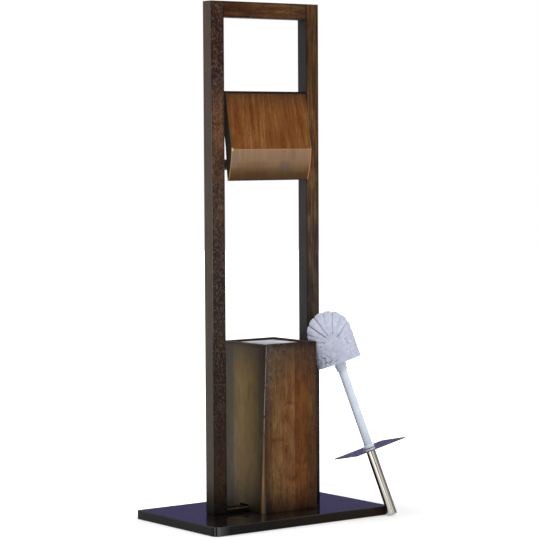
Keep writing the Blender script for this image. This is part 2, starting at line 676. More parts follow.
# %% Crease and worn edges of the flap
lifted = z.stray(streaks, 0.0016)
wood.cover(wood.mix(wood.step(lifted, crease - 0.0003, crease + 0.0004), wood.colour, face))
wood.paint(wood.band(lifted, crease - 0.0012, crease - 0.0002, 0.0004) * 0.35, (178, 130, 82))
below = wood.fall(z, crease - 0.001, crease + 0.004)
faint = wood.step(x, 0.0, 0.01) * wood.fall(z, crease, crease + 0.018) * 0.35
worn = wood.fall(rim.stray(fine, 0.0008), 0.0009, 0.0019)
wood.paint(worn * (below * 0.65 + faint), (196, 140, 82))
chip = wood.band(z, crease - 0.003, crease + 0.002, 0.0008) * wood.step(-1 * x, 0.0740, 0.0765)
wood.paint(chip * 0.8, (226, 176, 112))
wood.paint(wood.fall(rim, 0.0001, 0.0006), (44, 40, 38))
wood.feed("Roughness", streaks * 0.2 + 0.38)
wood.bump(streaks + fine * 0.5, 0.00015)
settle(flap, wood, "flap", "warm_wood", "flap_board")

# %% [markdown]
# ## Turned pieces
# The roller's tubes, the brush's handle, its stem and the liner are round. Each starts as a flat disc that is
# extruded and scaled ring by ring, as a potter would raise it, which gives even quads and closed ends. A list of
# radius and height pairs is then all that a turned piece needs.

# %% Helpers for turned pieces
def turn_up(name, rings, sides=64):
    """Raises a disc through rings of (radius, height), and closes it with the last ring."""
    (radius, height), *others = rings
    piece = fresh(name, bpy.ops.mesh.primitive_circle_add, vertices=sides, radius=radius, location=(0, 0, height),
                  fill_type="NGON")
    bpy.ops.object.mode_set(mode="EDIT")
    bpy.ops.mesh.select_mode(type="FACE")
    bpy.ops.mesh.select_all(action="SELECT")
    for next_radius, next_height in others:
        bpy.ops.mesh.extrude_region_move(TRANSFORM_OT_translate={"value": (0, 0, next_height - height)})
        share = next_radius / radius
        bpy.ops.transform.resize(value=(share, share, 1), center_override=(0, 0, next_height))
        radius, height = next_radius, next_height
    face_outwards()
    return piece


def face_outwards():
    """Turns all faces of the piece in edit mode outwards, and leaves edit mode."""
    bpy.ops.mesh.select_all(action="SELECT")
    bpy.ops.mesh.normals_make_consistent(inside=False)
    close()


def quarter(middle, radius, start, end, steps):
    """Rings on a rounding about (radius, height), between two angles in degrees."""
    angles = [math.radians(start + (end - start) * step / steps) for step in range(steps + 1)]
    return [(middle[0] + radius * math.cos(angle), middle[1] + radius * math.sin(angle)) for angle in angles]


def place(piece, matrix):
    """Moves a piece to its place and keeps that place in its mesh."""
    only(piece)
    piece.matrix_world = matrix
    bpy.ops.object.transform_apply(location=True, rotation=True, scale=True)


# %% [markdown]
# ## The sprung roller
# Two plain black plastic tubes slide into each other, with a round tip at each end that clicks into its post.
# Hardly more than the left end shows beside the flap, but the flap lifts, so the roller is finished all round.

# %% Tubes of the roller
ROLLER_ARRIS = 0.0005
TUBE_WALL, INNER_WALL = 0.0011, 0.0010
outer_low, outer_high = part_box("roller_outer_tube")
inner_low, inner_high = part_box("roller_inner_tube")
outer_radius = (outer_high.z - outer_low.z) / 2
inner_radius = (inner_high.z - inner_low.z) / 2
roller_middle = ((outer_low.y + outer_high.y) / 2, (outer_low.z + outer_high.z) / 2)


def lie_along_x(piece, forward=True):
    """Lays an upright piece down on the roller's axis, along +X or along -X."""
    turn = Matrix.Rotation(math.pi / 2 if forward else -math.pi / 2, 4, "Y")
    place(piece, Matrix.Translation((0, *roller_middle)) @ turn)


black_plastic = cloudy(
    "black plastic", {"IOR": 1.49}, (260.0, 260.0, 260.0), [(18, 18, 20), (30, 30, 32)], 0.2, 0.30)
black_plastic.bump(black_plastic.cloud, 0.00006)

for part, body, radius, wall, low, high, overrun in (
        ("outer", "roller", outer_radius, TUBE_WALL, outer_low.x, outer_high.x, OVERRUN),
        ("inner", "plunger", inner_radius, INNER_WALL, inner_low.x, inner_high.x, -OVERRUN)):
    tube = turn_up(f"roller_{part}_dressed", [
        (radius - ROLLER_ARRIS, low), (radius, low + ROLLER_ARRIS), (radius, high - ROLLER_ARRIS),
        (radius - ROLLER_ARRIS, high)])
    lie_along_x(tube)
    bore(tube, "X", roller_middle, radius - wall, low - overrun, high + OVERRUN, 64)
    smooth(tube)
    settle(tube, black_plastic, body, "black_tube", f"roller_{part}_tube")

# %% Tips of the roller
PLUG_LENGTH, PLUG_GAP = 0.0110, 0.0002
TIP_RADIUS, TIP_SHOULDER, TIP_ROUND = 0.0035, 0.0016, 0.0010
SOCKET_SPARE = 0.0008
post_face = left_box[1].x

for side, shoulder, plug, body in (("left", outer_radius, inner_radius, "roller"),
                                   ("right", inner_radius, inner_radius - TUBE_WALL - PLUG_GAP, "plunger")):
    ends = [abs(corner.x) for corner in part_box(f"roller_{side}_tip")]
    inner_end, reach = min(ends), max(ends)
    seat = inner_end + PLUG_LENGTH
    face = seat + TIP_SHOULDER
    tip = turn_up(f"roller_{side}_tip_dressed", [
        (plug, inner_end), (plug, seat), (shoulder - ROLLER_ARRIS, seat), (shoulder - ROLLER_ARRIS, face),
        (TIP_RADIUS, face), (TIP_RADIUS, reach - TIP_ROUND), (TIP_RADIUS - 0.0003, reach - 0.0003),
        (TIP_RADIUS - TIP_ROUND, reach)])
    lie_along_x(tip, side == "right")
    smooth(tip)
    settle(tip, black_plastic, body, "black_tube", f"roller_{side}_tip")
    post, way = bpy.data.objects[f"{side}_post_dressed"], 1 if side == "right" else -1
    bore(post, "X", roller_middle, TIP_RADIUS + ROOM, -way * (post_face + OVERRUN), way * (reach + SOCKET_SPARE))
    smooth(post)

# %% [markdown]
# ## The spring in the roller
# The spring is hidden in the tubes. One small circle is screwed along the axis into thirteen turns. Its left end
# stays with the outer tube and its right end goes with the inner one, so it shortens when the roller is pushed in.

# %% Spring
SPRING_WIRE = 0.0011
SPRING_TURNS, STEPS_TO_A_TURN = 13, 14
spring_low, spring_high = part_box("roller_spring")
coil_radius = (spring_high.z - spring_low.z - SPRING_WIRE) / 2
spring_start, spring_end = spring_low.x + SPRING_WIRE / 2, spring_high.x - SPRING_WIRE / 2
spring = fresh("roller_spring_dressed", bpy.ops.mesh.primitive_circle_add, vertices=8, radius=SPRING_WIRE / 2,
               location=(coil_radius, 0, spring_start), rotation=(math.pi / 2, 0, 0))
finish_with(spring, "SCREW", angle=2 * math.pi * SPRING_TURNS, screw_offset=spring_end - spring_start,
            steps=STEPS_TO_A_TURN * SPRING_TURNS)
bpy.ops.object.mode_set(mode="EDIT")
bpy.ops.mesh.select_all(action="SELECT")
bpy.ops.mesh.fill_holes(sides=0)
face_outwards()
lie_along_x(spring)
smooth(spring)
print(f"the spring has {len(spring.data.polygons)} faces, {SPRING_TURNS} turns of {coil_radius * 2000:.1f} mm")

# %% Steel, and how the spring rides
steel = cloudy(
    "brushed steel", {"Metallic": 1.0}, (2400.0, 2400.0, 90.0), [(184, 180, 171), (212, 209, 201)], 0.08, 0.02)
spring.data.materials.append(steel.material)
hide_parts("roller_spring")
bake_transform(spring)
print(f"the spring can shorten from {spring_end - spring_start:.4f} m")

# %% [markdown]
# ## The box
# Four boards of glued-up staves make the box: front and back cover the ends of the sides. The front left arris
# has been planed off by hand: it takes more of the side towards the foot, and more of the front towards the rim.
# That uneven arris is the first thing the eye meets, so it is cut as a bevel and then pushed wider point by point.

# %% Boards of the box
BOX_ARRIS = 0.0010
LEVELS = 40
front_low, front_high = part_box("box_front_panel")

panels = {side: board(f"box_{side}_panel_dressed", *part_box(f"box_{side}_panel"))
          for side in ("front", "back", "left", "right")}
for side, outer_y in (("front", front_low.y), ("back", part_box("box_back_panel")[1].y)):
    round_edges(panels[side], lambda edge: runs_upright(edge) and all(
        abs(point.co.y - outer_y) < ROOM for point in edge.verts), BOX_ARRIS, 4)
slice_up(panels["front"], "Z", [
    front_low.z + (front_high.z - front_low.z) * level / LEVELS for level in range(1, LEVELS)])
print(f"{len(panels)} panels, the front one cut at {LEVELS - 1} heights")

# %% Planed arris of the box
WOBBLE = (0.92, 1.08)
WORN_LEGS = [  # height, then how far the planed arris reaches on the front and on the side
    (0.000, 0.0008, 0.0066), (0.037, 0.0008, 0.0052), (0.068, 0.0008, 0.0036), (0.099, 0.0009, 0.0018),
    (0.131, 0.0012, 0.0010), (0.177, 0.0022, 0.0008), (0.224, 0.0044, 0.0008), (0.280, 0.0068, 0.0008)]

chance = random.Random(5)
wobble = {}
for point in panels["front"].data.vertices:
    near_side, near_front = point.co.x - front_low.x, point.co.y - front_low.y
    if near_side + near_front < BOX_ARRIS * 1.05:
        level = round(point.co.z, 4)
        if level not in wobble:
            wobble[level] = chance.uniform(*WOBBLE)
        front_leg, side_leg = (leg * wobble[level] for leg in between(WORN_LEGS, point.co.z))
        share = near_side / max(near_side + near_front, 0.00001)
        point.co.x = front_low.x + front_leg * share
        point.co.y = front_low.y + side_leg * (1 - share)
print(f"left arris planed off at {len(wobble)} heights")

# %% Notches and arrises of the box
STAVE_ARRIS = 0.0003
NOTCH_LENGTH, NOTCH_TOP = 0.0236, 0.0250

for side in ("left", "right"):
    low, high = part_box(f"box_{side}_panel")
    cut_with(panels[side], board("notch", (low.x - 0.005, -NOTCH_LENGTH / 2, low.z - 0.005),
                                 (high.x + 0.005, NOTCH_LENGTH / 2, NOTCH_TOP)))
for panel in panels.values():
    soften(panel, STAVE_ARRIS, 2)
    smooth(panel)
print(f"box {front_high.x - front_low.x:.4f} m wide, of {len(panels['front'].data.polygons)} faces in front")

# %% [markdown]
# ## Staves of the box
# The boards are glued up from staves 23 mm wide, each of its own tone, and three of them show where one length
# ends and the next begins: a dark bowed line, with paler wood below it. The stain is heavier near the rim, the foot
# and the arrises. The side panels are quieter: olive in the middle and grey-violet towards the frame.

# %% Stained staves
BOX_CONTRAST = [
    (0.39, (0.44, 0.33, 0.24)), (0.46, (0.81, 0.75, 0.67)), (0.52, (1.06, 1.08, 1.10)), (0.62, (1.58, 1.75, 2.02))]
STAVE_JOINTS = (-0.0227, 0.0007, 0.0237, 0.0469)
OPEN_JOINT = 0.0237
JOINT_BLUR = 0.022
STAVE_TONES = [(79, 54, 27), (97, 67, 36), (101, 66, 33), (88, 49, 15), (80, 49, 22)]
RIM_TOP = (84, 58, 28)
front_ends = (front_low.x, front_high.x)


def box_wood(name, across, ends, tones, rough, shift):
    """Stained staves, with tones that change across the panel between two ends."""
    wood = Finish(name, SATIN_WOOD)
    grain = wood.noise((360.0, 360.0, 12.0), 4.0, 0.62, 0.3, shift)
    mottle = wood.mottle = wood.noise((270.0, 270.0, 110.0), 3.0, 0.7, 0.8, shift + 5.0)
    patches = wood.patches = wood.noise((40.0, 40.0, 24.0), 2.0, 0.5, 0.6, shift + 9.0)
    work = grain * 0.34 + mottle * 0.30 + patches * 0.36
    stain = wood.tones(wood.share(wood.at[across], *ends), tones)
    wood.cover(wood.mix(rough, stain, wood.mix(1.0, stain, wood.ramp(work, BOX_CONTRAST), "MULTIPLY")))
    wood.feed("Roughness", grain * 0.18 + 0.36)
    wood.bump(grain + mottle * 0.4, WOOD_RELIEF)
    return wood


def stave_tones(tones):
    """Ramp stops that hold one tone to each stave, with a quick change at the joints."""
    stops = [(0.0, tones[0])]
    for joint, before, after in zip(STAVE_JOINTS, tones, tones[1:]):
        share = (joint - front_ends[0]) / (front_ends[1] - front_ends[0])
        stops += [(share - JOINT_BLUR, before), (share + JOINT_BLUR, after)]
    return stops


def darker_ends(wood):
    """The heavier stain at the rim and the foot."""
    z, mottle = wood.at[2], wood.mottle
    tint = wood.times(tone(64, 50, 40), wood.step(mottle, *BLOTCHES), 0.38, 1.30)
    rim = wood.step(z.stray(mottle, 0.10), 0.205, 0.290)
    foot = wood.step(z.stray(mottle, 0.02), 0.000, 0.066)
    wood.cover(wood.mix(rim * 0.92, wood.colour, tint))
    wood.shade(wood.step(z, front_high.z - 0.012, front_high.z), 1.0, 0.35)
    wood.shade(foot, 0.10, 1.0)


def brown_top(wood):
    """The bare brown top of a panel."""
    wood.paint(wood.step(wood.at[2], front_high.z - 0.0004, front_high.z - 0.0001), RIM_TOP)


# %% Front of the box
STAVE_ENDS = [(0.0007, 0.0237, 0.187, 26.0), (-0.0227, 0.0007, 0.129, 8.0), (0.0237, 0.0469, 0.089, -30.0)]

front = box_wood("box front wood", 0, front_ends, stave_tones(STAVE_TONES), 1.0, 0.0)
(x, y, z), mottle, patches = front.at, front.mottle, front.patches
for joint in STAVE_JOINTS:
    line = front.fall(abs(x - joint), 0.0003, 0.0011)
    front.paint(line * (0.75 if joint == OPEN_JOINT else 0.35), (66, 26, 6))
for left, end, height, bow in STAVE_ENDS:
    off = x - (left + end) / 2
    bowed = (z + off * off * bow).stray(mottle, 0.004)
    within = front.band(x, left, end, 0.0008)
    under = within * front.fall(bowed, height - 0.004, height) * front.step(z, height - 0.06, height)
    front.shade(under, 1.0, 1.22)
    line = front.band(bowed.stray(patches, 0.006), height - 0.0010, height + 0.0034, 0.0024)
    front.paint(line * within * front.step(mottle, *BLOTCHES) * 0.8, (66, 28, 8))
darker_ends(front)
grey_corner = front.fall(x, front_low.x + 0.004, front_low.x + 0.022) * front.step(z, 0.12, 0.24)
front.paint(grey_corner * 0.7, (80, 68, 58))
front.paint(front.step(x.stray(patches, 0.01), front_high.x - 0.009, front_high.x) * 0.7, (50, 36, 24))
front.shade(front.fall(x.stray(mottle, 0.010), front_low.x + 0.003, front_low.x + 0.016), 1.0, 0.48)
flecks = front.noise((520.0, 520.0, 130.0), 3.0, 0.7, 0.0, 17.0)
pale_zone = front.fall(x, front_low.x + 0.010, front_low.x + 0.060) * front.step(z, 0.15, 0.26)
front.paint(front.step(flecks, 0.52, 0.66) * pale_zone * 0.62, (122, 110, 98))
print(f"the front's staves in {len(front.tree.nodes)} nodes")

# %% Colours of the planed arris
LEG_UNIT = 0.01
top_height = WORN_LEGS[-1][0]
height = z * (1 / top_height)
front_leg, side_leg = (front.ramp(height, [(row[0] / top_height, grey(row[part] / LEG_UNIT)) for row in WORN_LEGS])
                       for part in (1, 2))
off_x, off_y = (x - front_low.x) * (1 / LEG_UNIT), (y - front_low.y) * (1 / LEG_UNIT)
planed = front.fall(off_x * side_leg + off_y * front_leg - front_leg * side_leg, 0.006, 0.012)
end_face = front.fall(off_x, 0.01, 0.06)
dark_side = front.times(
    front.tones(height, [(0.10, (34, 24, 8)), (0.40, (46, 33, 13)), (0.70, (45, 35, 17)), (0.95, (36, 29, 17))]),
    front.step(off_y, 0.2, 1.3), 0.90, 1.35)
front.cover(front.mix(planed.sum("MAXIMUM", planed, end_face), front.colour, dark_side))
line = front.band((off_x - front_leg).stray(mottle, 0.03), -0.11, 0.02, 0.03) * front.step(z, 0.11, 0.16)
front.paint(line * front.step(mottle, 0.36, 0.48) * 0.9, (124, 117, 110))
low_line = planed * front.fall(z.stray(mottle, 0.03), 0.120, 0.150)
front.cover(front.mix(low_line * front.step(mottle, 0.26, 0.42), front.colour, front.tones(height, [
    (0.07, (104, 76, 48)), (0.22, (134, 100, 62)), (0.36, (110, 86, 60)), (0.48, (90, 74, 54))])))
cool = front.band(off_x, 0.05, 0.40, 0.06) * front.fall(z, 0.03, 0.07)
front.paint(cool * 0.5, (74, 70, 68))
settle(panels["front"], front, "root", "box_wood", "box_front_panel")

# %% Sides and back of the box
SIDE_TONES = [
    (0.00, (50, 35, 8)), (0.10, (58, 42, 14)), (0.18, (76, 57, 20)), (0.29, (98, 76, 33)), (0.38, (101, 79, 38)),
    (0.60, (101, 79, 42)), (0.68, (93, 76, 44)), (0.74, (64, 54, 39)), (0.90, (54, 46, 38))]

side_ends = (front_low.y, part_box("box_back_panel")[1].y)
side_wood = box_wood("box side wood", 1, side_ends, SIDE_TONES, 0.45, 30.0)
z, patches = side_wood.at[2], side_wood.patches
side_wood.paint(side_wood.step(z.stray(patches, 0.05), 0.225, 0.295) * 0.85, (46, 41, 34))
side_wood.shade(side_wood.step(z, front_high.z - 0.008, front_high.z), 1.0, 0.30)
side_wood.shade(side_wood.step(z.stray(patches, 0.02), 0.000, 0.086), 0.08, 1.0)
brown_top(side_wood)
for side in ("left", "right"):
    settle(panels[side], side_wood, "root", "box_wood", f"box_{side}_panel")

back_wood = box_wood("box back wood", 0, front_ends, stave_tones(STAVE_TONES[::-1]), 1.0, 60.0)
darker_ends(back_wood)
brown_top(back_wood)
settle(panels["back"], back_wood, "root", "box_wood", "box_back_panel")

# %% [markdown]
# ## The liner
# A white plastic cup hangs in the box by a square flange that rests on the corner blocks. The cup is turned up
# with a wide round rim first, its inside going down and its outside coming back, and the rim is then cut square
# by keeping only what lies in a block: a Boolean set to intersect.

# %% Liner
CUP_WALL, CUP_LIP = 0.0016, 0.0035
CUP_FLANGE, FLANGE_CORNER = 0.0020, 0.0015
MOUTH_RADIUS, BOTTOM_RADIUS, BOTTOM_ROUND = 0.0376, 0.0330, 0.0060
DISC_RADIUS, INSIDE_FLAT = 0.0700, 0.0200
cup_low, cup_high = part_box("brush_cup")
flange_under = cup_high.z - CUP_FLANGE
outer_bend, inner_round = BOTTOM_RADIUS + CUP_WALL - BOTTOM_ROUND, BOTTOM_ROUND - CUP_WALL
rings = [(outer_bend, cup_low.z)] + quarter((outer_bend, cup_low.z + BOTTOM_ROUND), BOTTOM_ROUND, -75, 0, 5)
rings += [(MOUTH_RADIUS + CUP_WALL, flange_under), (DISC_RADIUS, flange_under), (DISC_RADIUS, cup_high.z)]
rings += quarter((MOUTH_RADIUS + CUP_LIP, cup_high.z - CUP_LIP), CUP_LIP, 90, 180, 8)
rings += quarter((BOTTOM_RADIUS - inner_round, cup_low.z + CUP_WALL + inner_round), inner_round, 0, -75, 5)
cup = turn_up("brush_cup_dressed", [*rings, (INSIDE_FLAT, cup_low.z + CUP_WALL)], 96)
place(cup, Matrix.Translation(((cup_low.x + cup_high.x) / 2, (cup_low.y + cup_high.y) / 2, 0)))
outline = board("outline", (*cup_low.xy, cup_low.z - 0.01), (*cup_high.xy, cup_high.z + 0.01))
round_edges(outline, runs_upright, FLANGE_CORNER, 4)
cut_with(cup, outline, "INTERSECT")
smooth(cup)
print(f"liner {cup_high.z - cup_low.z:.4f} m deep")


# %% White plastic
def white_plastic(name, dark, light, least):
    """Moulded plastic with a faint cloudy sheen."""
    plastic = cloudy(name, {"IOR": 1.49, "Specular IOR Level": 0.45}, (60.0, 60.0, 60.0), [dark, light],
                     0.12, least, 3.0, 0.55)
    plastic.bump(plastic.noise((700.0, 700.0, 700.0), 3.0), 0.00002)
    return plastic


liner_plastic = white_plastic("liner plastic", (182, 186, 196), (200, 203, 210), 0.34)
settle(cup, liner_plastic, "liner", "white_plastic", "brush_cup")

# %% [markdown]
# ## The brush
# The brush leans upside down, so its parts are turned upright round Z first, on the end of the handle, and all
# take the same move at the end. The handle is a thin steel tube with a cap, then come a square lid plate, the
# white stem and the stepped neck of the head.

# %% Place of the brush
FOOT_INSET, FOOT_REACH = 0.0034, 0.0112
BOX_PRESS, POST_PRESS = 0.0037, 0.0014
HANDLE_RADIUS = 0.0078
HEAD_RADIUS = 0.0364
DOME_MIDDLE, HEAD_FLAT = 0.3078, 0.2578
floor_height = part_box("front_left_foot_pad")[0].z
foot = Vector((base_high.x - FOOT_INSET, base_low.y - FOOT_REACH))
head = Vector((front_high.x + HEAD_RADIUS - BOX_PRESS, FLAP_FRONT - HEAD_RADIUS + POST_PRESS))
way = head - foot
lean = math.asin(way.length / DOME_MIDDLE)
BRUSH = (Matrix.Translation((*foot, floor_height + HANDLE_RADIUS * math.sin(lean)))
         @ Matrix.Rotation(math.atan2(way.y, way.x), 4, "Z") @ Matrix.Rotation(lean, 4, "Y"))
print(f"the brush leans {math.degrees(lean):.1f} degrees")

# %% Handle and its cap
TUBE_END, TUBE_INSIDE, CAP_PLUG = 0.1108, 0.0070, 0.0067


def on_brush(piece, finish, slot, node, turn=0.0):
    """Moves a piece of the brush to its place and finishes it."""
    place(piece, BRUSH @ Matrix.Rotation(turn, 4, "Z"))
    smooth(piece)
    settle(piece, finish, "brush", slot, node)


handle = turn_up("brush_handle_dressed", [
    (HANDLE_RADIUS - 0.0004, 0.0015), (HANDLE_RADIUS, 0.0019), (HANDLE_RADIUS, TUBE_END - 0.0004),
    (HANDLE_RADIUS - 0.0004, TUBE_END)])
bore(handle, "Z", (0, 0), TUBE_INSIDE, 0.0, TUBE_END + OVERRUN, 64)
on_brush(handle, steel, "steel", "brush_handle_tube")
on_brush(turn_up("brush_cap_dressed", [
    (HANDLE_RADIUS - 0.0006, 0.0), (HANDLE_RADIUS - 0.0002, 0.0002), (HANDLE_RADIUS, 0.0006),
    (HANDLE_RADIUS, 0.0010), (HANDLE_RADIUS - 0.0002, 0.0012), (CAP_PLUG, 0.0012), (CAP_PLUG, 0.0070)]),
    steel, "steel", "brush_handle_end_cap")

# %% Lid plate
PLATE_LOW, PLATE_HIGH, PLATE_HALF, PLATE_CORNER = 0.1111, 0.1129, 0.0455, 0.0020
PLATE_TURN = math.radians(33.5)
STUD_HOLE = 0.0033

plate = board("brush_lid_dressed", (-PLATE_HALF, -PLATE_HALF, PLATE_LOW), (PLATE_HALF, PLATE_HALF, PLATE_HIGH))
round_edges(plate, runs_upright, PLATE_CORNER, 6)
soften(plate, 0.0003, 2)
bore(plate, "Z", (0, 0), STUD_HOLE, PLATE_LOW - OVERRUN, PLATE_HIGH + OVERRUN)
plate_lacquer = cloudy(
    "lid lacquer", {"IOR": 1.5, "Coat Weight": 1.0, "Coat Roughness": 0.06}, (40.0, 40.0, 40.0),
    [(18, 15, 20), (28, 24, 32)], 0.1, 0.1, 3.0, 0.55)
on_brush(plate, plate_lacquer, "black_lacquer", "brush_lid_plate", PLATE_TURN)

# %% Stem
STEM_RADIUS, STEM_END, SPIGOT = 0.0069, 0.2446, 0.0045

stem_low = PLATE_HIGH + ROOM
stem = turn_up("brush_stem_dressed", [
    (0.0084, stem_low), (0.0088, stem_low + 0.0004), (0.0088, stem_low + 0.0018), (0.0085, stem_low + 0.0024),
    (0.0079, stem_low + 0.0034), (0.0073, stem_low + 0.0050), (STEM_RADIUS, stem_low + 0.0066),
    (STEM_RADIUS, STEM_END - ROOM), (SPIGOT, STEM_END - ROOM), (SPIGOT, STEM_END + 0.0110)])
bore(stem, "Z", (0, 0), STUD_HOLE, stem_low - OVERRUN, stem_low + 0.0143)
stem_plastic = white_plastic("stem plastic", (200, 210, 225), (214, 223, 236), 0.30)
on_brush(stem, stem_plastic, "white_plastic", "brush_stem")

# %% Neck of the head
CORE_RADIUS, SPIGOT_HOLE = 0.0060, 0.0048

neck = turn_up("brush_neck_dressed", [
    (0.0080, STEM_END), (0.0086, STEM_END + 0.0003), (0.0088, STEM_END + 0.0009), (0.0088, STEM_END + 0.0062),
    (0.0089, STEM_END + 0.0066), (0.0094, STEM_END + 0.0068), (0.0096, STEM_END + 0.0074),
    (0.0096, HEAD_FLAT - 0.0009), (0.0094, HEAD_FLAT - 0.0003), (0.0088, HEAD_FLAT), (CORE_RADIUS, HEAD_FLAT)]
    + quarter((0, DOME_MIDDLE), CORE_RADIUS, 0, 75, 5))
bore(neck, "Z", (0, 0), SPIGOT_HOLE, STEM_END - OVERRUN, STEM_END + 0.0113)
on_brush(neck, stem_plastic, "white_plastic", "brush_head_core")

# %% [markdown]
# ## Bristles
# The head is what takes the most skill. Its bristles are rooted in tufts that spread to a trimmed round dome, with
# dark gaps between them. One thin three-sided bristle is modelled first, which flares towards its tip. Copies of it
# make three kinds of tuft: a round one for the straight side, a round one for the middle of the dome, and a long
# fan. Copies of those fill the head: on the dome the fans stand round two opposite middles like the slices of an
# orange. Last of all the bristles that meet the box or the post are pushed back to its face, because there they
# give way.

# %% One bristle
BRISTLE_RADIUS, TIP_SPREAD = 0.00030, 2.4
chance = random.Random(11)
bristle = turn_up("bristle", [(BRISTLE_RADIUS, 0), (BRISTLE_RADIUS * TIP_SPREAD, 1)], 3)
print(f"one bristle has {len(bristle.data.polygons)} faces")


# %% Helpers for tufts
def copy_of(piece):
    """A copy with its own mesh."""
    double = piece.copy()
    double.data = piece.data.copy()
    bpy.context.scene.collection.objects.link(double)
    return double


def joined(name, pieces):
    """Several pieces made one."""
    only(*pieces)
    bpy.ops.object.join()
    whole = bpy.context.active_object
    whole.name = name
    return whole


def make_tuft(name, ends):
    """A tuft with one bristle from each root to its tip."""
    strands = []
    for root, tip in ends:
        aim = (tip - root).to_track_quat("Z", "Y").to_matrix() @ Matrix.Rotation(chance.uniform(0, 2), 3, "Z")
        strand = copy_of(bristle)
        for point in strand.data.vertices:
            point.co = root.lerp(tip, point.co.z) + aim @ Vector((point.co.x, point.co.y, 0))
        strands.append(strand)
    return joined(name, strands)


# %% Round tufts
ROOT_RADIUS = 0.0078
TIP_LOSS, EDGE_LOSS = 0.0007, 0.0018
TUFT_RADIUS, TUFT_ROOT, TUFT_BRISTLES = 0.0062, 0.60, 130
SPIRAL_TURN = math.radians(137.5)


def round_ends(on_dome):
    """Roots and tips of a round tuft, its tips along a spiral."""
    for index in range(TUFT_BRISTLES):
        radius = TUFT_RADIUS * math.sqrt((index + 0.5) / TUFT_BRISTLES)
        side, rise = radius * math.cos(index * SPIRAL_TURN), radius * math.sin(index * SPIRAL_TURN)
        reach = HEAD_RADIUS - BRISTLE_RADIUS - chance.random() ** 2 * TIP_LOSS - (radius / TUFT_RADIUS) ** 4 * EDGE_LOSS
        depth = math.sqrt(reach ** 2 - side ** 2 - (rise ** 2 if on_dome else 0.0))
        yield Vector((side * TUFT_ROOT, rise * TUFT_ROOT, ROOT_RADIUS)), Vector((side, rise, depth))


side_tuft = make_tuft("side_tuft", round_ends(False))
dome_tuft = make_tuft("dome_tuft", round_ends(True))
print(f"each round tuft has {len(side_tuft.data.polygons)} faces")

# %% Fans
FAN_START, FAN_WIDTH, FAN_ROWS = math.radians(16), math.radians(18), 50
FAN_ROOT, FAN_GAP, FAN_PITCH = 0.0240, 0.13, 0.0009
ROOTS_CLOSER, ROOTS_WIDER, PITCH_STRAY = 0.8, 1.06, 0.3


def direction(polar, around):
    """The unit vector at an angle from +Z, turned round it from +X."""
    return Vector((math.sin(polar) * math.cos(around), math.sin(polar) * math.sin(around), math.cos(polar)))


def fan_ends():
    """Roots and tips of a fan, a slice of the dome from near its middle out to the rim."""
    middle = (FAN_START + math.pi / 2) / 2
    for row in range(FAN_ROWS):
        polar = FAN_START + (math.pi / 2 - FAN_START) * (row + 0.5) / FAN_ROWS
        across = round(math.sin(polar) * HEAD_RADIUS * FAN_WIDTH / FAN_PITCH)
        for column in range(across):
            share = (column + 0.5 + chance.uniform(-PITCH_STRAY, PITCH_STRAY)) / across * 2 - 1
            reach = HEAD_RADIUS - BRISTLE_RADIUS - chance.random() ** 2 * TIP_LOSS - share ** 4 * EDGE_LOSS
            root = direction(middle + (polar - middle) * ROOTS_CLOSER, share * FAN_WIDTH / 2 * ROOTS_WIDER) * FAN_ROOT
            yield root, direction(polar, share * FAN_WIDTH / 2 * (1 - FAN_GAP)) * reach


fan = make_tuft("fan", fan_ends())
print(f"a fan has {len(fan.data.polygons)} faces")

# %% Helpers for filling the head
FAN_DROP, FAN_STRAY = 0.0150, 0.012
tufts = []


def tuft_at(tuft, matrix, stray):
    """A copy of a tuft at its place on the head, leaning a little its own way."""
    double = copy_of(tuft)
    double.data.transform(matrix @ Matrix.Rotation(chance.uniform(-stray, stray), 4, "X")
                          @ Matrix.Rotation(chance.uniform(-stray, stray), 4, "Y"))
    tufts.append(double)
    return double


def fan_at(tuft, matrix):
    """A tuft of the dome, whose bristles are drawn out from the fans' middle to the head's own surface."""
    for point in tuft_at(tuft, matrix, FAN_STRAY).data.vertices:
        distance, way = point.co.length, point.co.normalized()
        to_dome = FAN_DROP * way.z + math.sqrt(HEAD_RADIUS ** 2 - FAN_DROP ** 2 * (1 - way.z ** 2))
        if to_dome * way.z < FAN_DROP:
            to_dome = HEAD_RADIUS / way.xy.length
        point.co = Vector((0, 0, DOME_MIDDLE - FAN_DROP)) + way * distance * to_dome / HEAD_RADIUS


# %% Dome of the head
FACING, FAN_COUNT = math.radians(100), 10
WIDE_FANS, NARROW_FANS = (1.08, 1.14), (0.98, 1.06)
MIDDLE_TUFTS, MIDDLE_TILT = (-90, -30, 30, 90), math.radians(12)

for facing in (FACING, FACING + math.pi):
    outward = Vector((math.cos(facing), math.sin(facing), 0))
    face_turn = Matrix((Vector((0, 0, 1)), outward.cross(Vector((0, 0, 1))), outward)).transposed().to_4x4()
    for index in range(FAN_COUNT):
        around = -math.pi / 2 + FAN_WIDTH * (index + 0.5)
        width = chance.uniform(*(WIDE_FANS if around < 0 else NARROW_FANS))
        fan_at(fan, face_turn @ Matrix.Rotation(around, 4, "Z") @ Matrix.Diagonal((1, width, 1, 1)))
    fan_at(dome_tuft, face_turn)
    for degrees in MIDDLE_TUFTS:
        fan_at(dome_tuft, face_turn @ Matrix.Rotation(math.radians(degrees), 4, "Z")
               @ Matrix.Rotation(MIDDLE_TILT, 4, "Y"))
print(f"{len(tufts)} tufts on the dome")

# %% Straight side of the head
SIDE_ROWS, SIDE_COLUMNS, SIDE_STRAY = 4, 20, 0.03
FIRST_ROW, ROW_HEIGHT = FAN_DROP + 0.0050, 0.0093
WORN_SIDE, WORN_SIZE, FULL_SIZE = (math.radians(15), math.radians(85)), (0.80, 0.96), 1.04
BEND_ROOM = 0.0006

